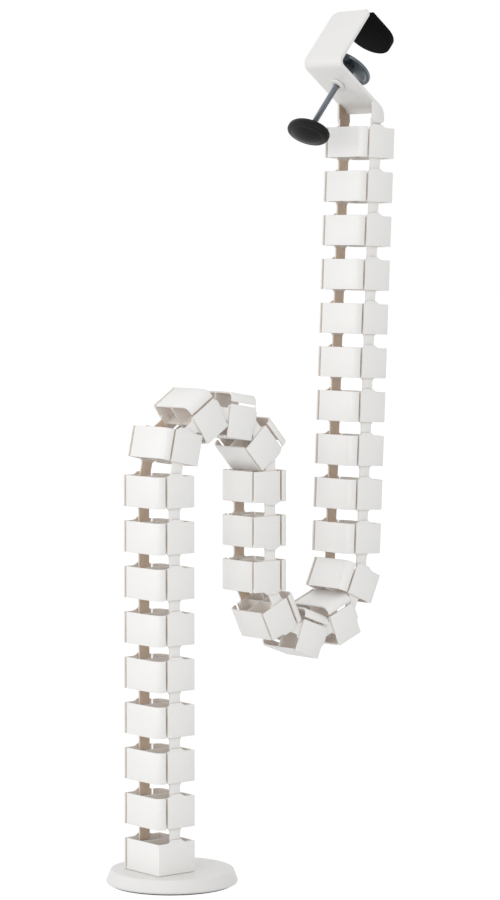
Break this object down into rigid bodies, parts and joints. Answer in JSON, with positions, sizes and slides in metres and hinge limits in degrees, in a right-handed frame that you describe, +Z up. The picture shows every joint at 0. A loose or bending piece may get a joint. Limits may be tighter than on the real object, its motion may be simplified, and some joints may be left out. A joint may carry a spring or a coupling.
{
  "type": "desk cable spine",
  "caption": "Hinged vertebra cable guide folded in an S, with a screw clamp for the desk edge at the top and a round weighted floor base.",
  "frame": {"origin": "centre of the round base's underside, on the floor", "axes": "+Z up, X across the plane the chain folds in with the clamp on the +X side, Y along every hinge"},
  "size_m": [0.3085, 0.116, 0.7723],
  "materials": {
    "link_plastic": "satin",
    "base_coat": "powder coat",
    "bracket_coat": "powder coat",
    "foot_rubber": "matte",
    "cap_rubber": "matte",
    "steel": "zinc plated",
    "disc_steel": "gloss black",
    "knob_plastic": "satin"
  },
  "bodies": {
    "clamp": {"clamp_bracket": "bracket_coat", "clamp_jaw_cap": "cap_rubber", "clamp_nut": "steel"},
    "disc": {"pressure_disc": "disc_steel"},
    "screw": {"clamp_screw": "steel", "clamp_knob": "knob_plastic"},
    "link_30": {"link_30": "link_plastic"},
    "link_29": {"link_29": "link_plastic"},
    "link_28": {"link_28": "link_plastic"},
    "link_27": {"link_27": "link_plastic"},
    "link_26": {"link_26": "link_plastic"},
    "link_25": {"link_25": "link_plastic"},
    "link_24": {"link_24": "link_plastic"},
    "link_23": {"link_23": "link_plastic"},
    "link_22": {"link_22": "link_plastic"},
    "link_21": {"link_21": "link_plastic"},
    "link_20": {"link_20": "link_plastic"},
    "link_19": {"link_19": "link_plastic"},
    "link_18": {"link_18": "link_plastic"},
    "link_17": {"link_17": "link_plastic"},
    "link_16": {"link_16": "link_plastic"},
    "link_15": {"link_15": "link_plastic"},
    "link_14": {"link_14": "link_plastic"},
    "link_13": {"link_13": "link_plastic"},
    "link_12": {"link_12": "link_plastic"},
    "link_11": {"link_11": "link_plastic"},
    "link_10": {"link_10": "link_plastic"},
    "link_09": {"link_09": "link_plastic"},
    "link_08": {"link_08": "link_plastic"},
    "link_07": {"link_07": "link_plastic"},
    "link_06": {"link_06": "link_plastic"},
    "link_05": {"link_05": "link_plastic"},
    "link_04": {"link_04": "link_plastic"},
    "link_03": {"link_03": "link_plastic"},
    "link_02": {"link_02": "link_plastic"},
    "base": {"base_link": "link_plastic", "base_plate": "base_coat", "base_foot_pad": "foot_rubber", "base_screw_1": "steel", "base_screw_2": "steel", "base_screw_3": "steel", "base_screw_4": "steel"}
  },
  "joints": [
    {"name": "disc_travel", "type": "slide", "parent": "clamp", "child": "disc", "axis": [0.6184, 0, 0.7859], "range_m": [-0.007, 0.0345]},
    {"name": "screw_turn", "type": "hinge", "parent": "disc", "child": "screw", "pos_m": [0.19279, 0, 0.70893], "axis": [0.6184, 0, 0.7859], "range_deg": [-1280, 6230]},
    {"name": "hinge_01", "type": "hinge", "parent": "link_02", "child": "base", "pos_m": [-0.014, 0, 0.0347], "axis": [0, 1, 0], "range_deg": [-43.5, 43.5]},
    {"name": "hinge_02", "type": "hinge", "parent": "link_03", "child": "link_02", "pos_m": [-0.014, 0, 0.0747], "axis": [0, -1, 0], "range_deg": [-43.5, 43.5]},
    {"name": "hinge_03", "type": "hinge", "parent": "link_04", "child": "link_03", "pos_m": [-0.014, 0, 0.1147], "axis": [0, 1, 0], "range_deg": [-43.5, 43.5]},
    {"name": "hinge_04", "type": "hinge", "parent": "link_05", "child": "link_04", "pos_m": [-0.014, 0, 0.1547], "axis": [0, -1, 0], "range_deg": [-43.5, 43.5]},
    {"name": "hinge_05", "type": "hinge", "parent": "link_06", "child": "link_05", "pos_m": [-0.014, 0, 0.1947], "axis": [0, 1, 0], "range_deg": [-43.5, 43.5]},
    {"name": "hinge_06", "type": "hinge", "parent": "link_07", "child": "link_06", "pos_m": [-0.014, 0, 0.2347], "axis": [0, -1, 0], "range_deg": [-43.5, 43.5]},
    {"name": "hinge_07", "type": "hinge", "parent": "link_08", "child": "link_07", "pos_m": [-0.014, 0, 0.2747], "axis": [0, 1, 0], "range_deg": [-43.5, 43.5]},
    {"name": "hinge_08", "type": "hinge", "parent": "link_09", "child": "link_08", "pos_m": [-0.014, 0, 0.3147], "axis": [0, -1, 0], "range_deg": [-43.5, 38]},
    {"name": "hinge_09", "type": "hinge", "parent": "link_10", "child": "link_09", "pos_m": [-0.014, 0, 0.3547], "axis": [0, 1, 0], "range_deg": [-29, 55.7]},
    {"name": "hinge_10", "type": "hinge", "parent": "link_11", "child": "link_10", "pos_m": [-0.00555, 0, 0.3938], "axis": [0, -1, 0], "range_deg": [-87, 0]},
    {"name": "hinge_11", "type": "hinge", "parent": "link_12", "child": "link_11", "pos_m": [0.0275, 0, 0.41634], "axis": [0, 1, 0], "range_deg": [0, 87]},
    {"name": "hinge_12", "type": "hinge", "parent": "link_13", "child": "link_12", "pos_m": [0.06698, 0, 0.40994], "axis": [0, -1, 0], "range_deg": [-82.4, 4.6]},
    {"name": "hinge_13", "type": "hinge", "parent": "link_14", "child": "link_13", "pos_m": [0.0937, 0, 0.38017], "axis": [0, 1, 0], "range_deg": [-1.6, 85.4]},
    {"name": "hinge_14", "type": "hinge", "parent": "link_15", "child": "link_14", "pos_m": [0.0937, 0, 0.34017], "axis": [0, -1, 0], "range_deg": [-43.5, 43.5]},
    {"name": "hinge_15", "type": "hinge", "parent": "link_16", "child": "link_15", "pos_m": [0.0937, 0, 0.30017], "axis": [0, 1, 0], "range_deg": [-43.5, 43.5]},
    {"name": "hinge_16", "type": "hinge", "parent": "link_17", "child": "link_16", "pos_m": [0.0937, 0, 0.26017], "axis": [0, -1, 0], "range_deg": [-17.7, 69.3]},
    {"name": "hinge_17", "type": "hinge", "parent": "link_18", "child": "link_17", "pos_m": [0.1111, 0, 0.22416], "axis": [0, 1, 0], "range_deg": [-87, 0]},
    {"name": "hinge_18", "type": "hinge", "parent": "link_19", "child": "link_18", "pos_m": [0.14852, 0, 0.21002], "axis": [0, -1, 0], "range_deg": [0, 87]},
    {"name": "hinge_19", "type": "hinge", "parent": "link_20", "child": "link_19", "pos_m": [0.1854, 0, 0.22552], "axis": [0, 1, 0], "range_deg": [-87, 0]},
    {"name": "hinge_20", "type": "hinge", "parent": "link_21", "child": "link_20", "pos_m": [0.20147, 0, 0.26215], "axis": [0, -1, 0], "range_deg": [-22.2, 64.8]},
    {"name": "hinge_21", "type": "hinge", "parent": "link_22", "child": "link_21", "pos_m": [0.20315, 0, 0.30211], "axis": [0, 1, 0], "range_deg": [-43.5, 37]},
    {"name": "hinge_22", "type": "hinge", "parent": "link_23", "child": "link_22", "pos_m": [0.20483, 0, 0.34208], "axis": [0, -1, 0], "range_deg": [-43.5, 43.5]},
    {"name": "hinge_23", "type": "hinge", "parent": "link_24", "child": "link_23", "pos_m": [0.2065, 0, 0.38204], "axis": [0, 1, 0], "range_deg": [-43.5, 43.5]},
    {"name": "hinge_24", "type": "hinge", "parent": "link_25", "child": "link_24", "pos_m": [0.20817, 0, 0.42201], "axis": [0, -1, 0], "range_deg": [-43.5, 43.5]},
    {"name": "hinge_25", "type": "hinge", "parent": "link_26", "child": "link_25", "pos_m": [0.20985, 0, 0.46197], "axis": [0, 1, 0], "range_deg": [-43.5, 43.5]},
    {"name": "hinge_26", "type": "hinge", "parent": "link_27", "child": "link_26", "pos_m": [0.21152, 0, 0.50194], "axis": [0, -1, 0], "range_deg": [-43.5, 43.5]},
    {"name": "hinge_27", "type": "hinge", "parent": "link_28", "child": "link_27", "pos_m": [0.2132, 0, 0.5419], "axis": [0, 1, 0], "range_deg": [-43.5, 43.5]},
    {"name": "hinge_28", "type": "hinge", "parent": "link_29", "child": "link_28", "pos_m": [0.21488, 0, 0.58186], "axis": [0, -1, 0], "range_deg": [-43.5, 43.5]},
    {"name": "hinge_29", "type": "hinge", "parent": "link_30", "child": "link_29", "pos_m": [0.21655, 0, 0.62183], "axis": [0, 1, 0], "range_deg": [-43.5, 43.5]},
    {"name": "hinge_30", "type": "hinge", "parent": "clamp", "child": "link_30", "pos_m": [0.21823, 0, 0.66179], "axis": [0, -1, 0], "range_deg": [-20, 20]}
  ],
  "couplings": [
    {"joint": "screw_turn", "follows": "disc_travel", "rad_per_m": 3141.6}
  ]
}
